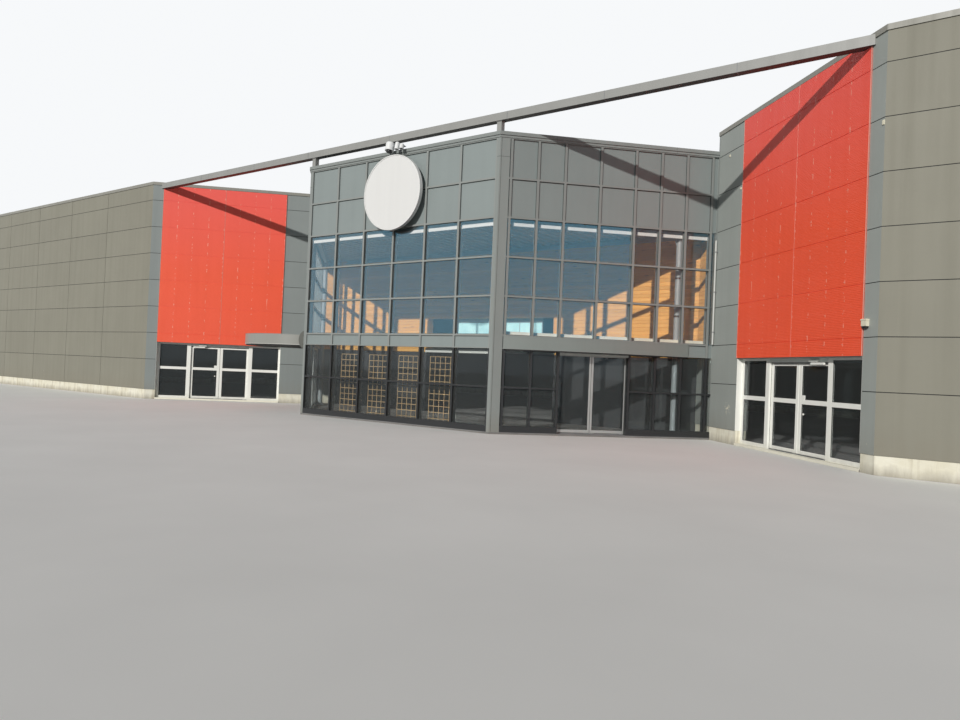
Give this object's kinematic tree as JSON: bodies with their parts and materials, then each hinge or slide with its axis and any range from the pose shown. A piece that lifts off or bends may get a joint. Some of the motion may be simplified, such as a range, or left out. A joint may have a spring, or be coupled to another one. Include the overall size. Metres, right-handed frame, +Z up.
{
  "type": "supermarket building, 1:2 scale model",
  "caption": "Long low supermarket of grey sandwich panels with a glazed half-octagon entrance pavilion, red cladding and sliding doors.",
  "frame": {"origin": "on the ground, under the middle of the glazed pavilion's front face", "axes": "+X to the right along the front, +Y into the building, +Z up"},
  "size_m": [27.4738, 12.0879, 4.095],
  "materials": {
    "warm_grey_panels": "satin warm grey coated steel sandwich panels",
    "red_cladding": "ribbed coated steel cladding, weathered red-orange",
    "cool_grey_panels": "satin cool grey coated infill panels",
    "light_metal": "light grey folded sheet metal",
    "canopy_metal": "light grey sheet metal, satin",
    "white_metal": "white coated profiles",
    "beam_metal": "pale coated steel",
    "mullion_aluminium": "grey anodised aluminium profiles",
    "leaf_aluminium": "natural anodised aluminium with clear panes",
    "white_leaf": "white coated profiles with clear panes",
    "gear_aluminium": "natural anodised aluminium",
    "clear_glass": "clear insulating glass, blue-grey reflections",
    "concrete": "weathered cream precast concrete",
    "floor_concrete": "smooth grey concrete floor",
    "roof_membrane": "grey roofing membrane",
    "plaster": "painted plaster over blockwork",
    "pine_boards": "lacquered orange pine boards",
    "white_deck": "white coated ribbed steel deck",
    "grey_steel": "grey painted steel",
    "sign_metal": "white faced sheet metal with a bare aluminium rim",
    "lamp_metal": "white coated metal",
    "trellis_wood": "pale softwood laths"
  },
  "bodies": {
    "building": {"angled_wall_heads": "warm_grey_panels", "angled_wall_piers": "warm_grey_panels", "beam_posts": "grey_steel", "canopy_left": "canopy_metal", "canopy_right": "canopy_metal", "coping_cross": "light_metal", "coping_long": "light_metal", "corner_columns": "light_metal", "door_gear": "gear_aluminium", "door_heads": "white_metal", "edge_beam": "grey_steel", "entrance_frame_left": "white_metal", "entrance_frame_right": "white_metal", "entrance_glass": "clear_glass", "fascia_band": "cool_grey_panels", "floor_slab": "floor_concrete", "ground_frame_front": "mullion_aluminium", "ground_frame_left": "mullion_aluminium", "ground_frame_right": "mullion_aluminium", "ground_glass": "clear_glass", "hall_wall_head": "plaster", "hall_wall_piers": "plaster", "interior_columns": "grey_steel", "main_roof": "roof_membrane", "pavilion_coping": "light_metal", "pavilion_panels": "cool_grey_panels", "pavilion_roof": "white_deck", "plinth_cross": "concrete", "plinth_long": "concrete", "rear_wall": "warm_grey_panels", "red_cladding_left": "red_cladding", "red_cladding_right": "red_cladding", "roof_beam": "beam_metal", "side_walls": "warm_grey_panels", "sign_disc": "sign_metal", "sign_lamps": "lamp_metal", "timber_lining": "pine_boards", "trellis_screens": "trellis_wood", "upper_frame_front": "mullion_aluminium", "upper_frame_left": "mullion_aluminium", "upper_frame_right": "mullion_aluminium", "upper_glass": "clear_glass", "wing_wall_left": "warm_grey_panels", "wing_wall_right": "warm_grey_panels"},
    "entrance_leaf_right_inner": {"entrance_leaf_right_inner": "white_leaf"},
    "entrance_leaf_right_outer": {"entrance_leaf_right_outer": "white_leaf"},
    "entrance_leaf_left_inner": {"entrance_leaf_left_inner": "white_leaf"},
    "entrance_leaf_left_outer": {"entrance_leaf_left_outer": "white_leaf"},
    "pavilion_leaf_right_front": {"pavilion_leaf_right_front": "leaf_aluminium"},
    "pavilion_leaf_right_back": {"pavilion_leaf_right_back": "leaf_aluminium"},
    "pavilion_leaf_left_front": {"pavilion_leaf_left_front": "leaf_aluminium"},
    "pavilion_leaf_left_back": {"pavilion_leaf_left_back": "leaf_aluminium"}
  },
  "joints": [
    {"name": "entrance_right_inner_slide", "type": "slide", "parent": "building", "child": "entrance_leaf_right_inner", "axis": [-0.7071, 0.7071, 0], "range_m": [0, 0.5]},
    {"name": "entrance_right_outer_slide", "type": "slide", "parent": "building", "child": "entrance_leaf_right_outer", "axis": [0.7071, -0.7071, 0], "range_m": [0, 0.5]},
    {"name": "entrance_left_inner_slide", "type": "slide", "parent": "building", "child": "entrance_leaf_left_inner", "axis": [0.7071, 0.7071, 0], "range_m": [0, 0.5]},
    {"name": "entrance_left_outer_slide", "type": "slide", "parent": "building", "child": "entrance_leaf_left_outer", "axis": [-0.7071, -0.7071, 0], "range_m": [0, 0.5]},
    {"name": "pavilion_right_front_slide", "type": "slide", "parent": "building", "child": "pavilion_leaf_right_front", "axis": [-0.7071, -0.7071, 0], "range_m": [0, 0.43]},
    {"name": "pavilion_right_back_slide", "type": "slide", "parent": "building", "child": "pavilion_leaf_right_back", "axis": [0.7071, 0.7071, 0], "range_m": [0, 0.43]},
    {"name": "pavilion_left_front_slide", "type": "slide", "parent": "building", "child": "pavilion_leaf_left_front", "axis": [0.7071, -0.7071, 0], "range_m": [0, 0.43]},
    {"name": "pavilion_left_back_slide", "type": "slide", "parent": "building", "child": "pavilion_leaf_left_back", "axis": [-0.7071, 0.7071, 0], "range_m": [0, 0.43]}
  ],
  "couplings": [
    {"joint": "entrance_right_outer_slide", "follows": "entrance_right_inner_slide", "ratio": 1},
    {"joint": "entrance_left_outer_slide", "follows": "entrance_left_inner_slide", "ratio": 1},
    {"joint": "pavilion_right_back_slide", "follows": "pavilion_right_front_slide", "ratio": 1},
    {"joint": "pavilion_left_back_slide", "follows": "pavilion_left_front_slide", "ratio": 1}
  ]
}
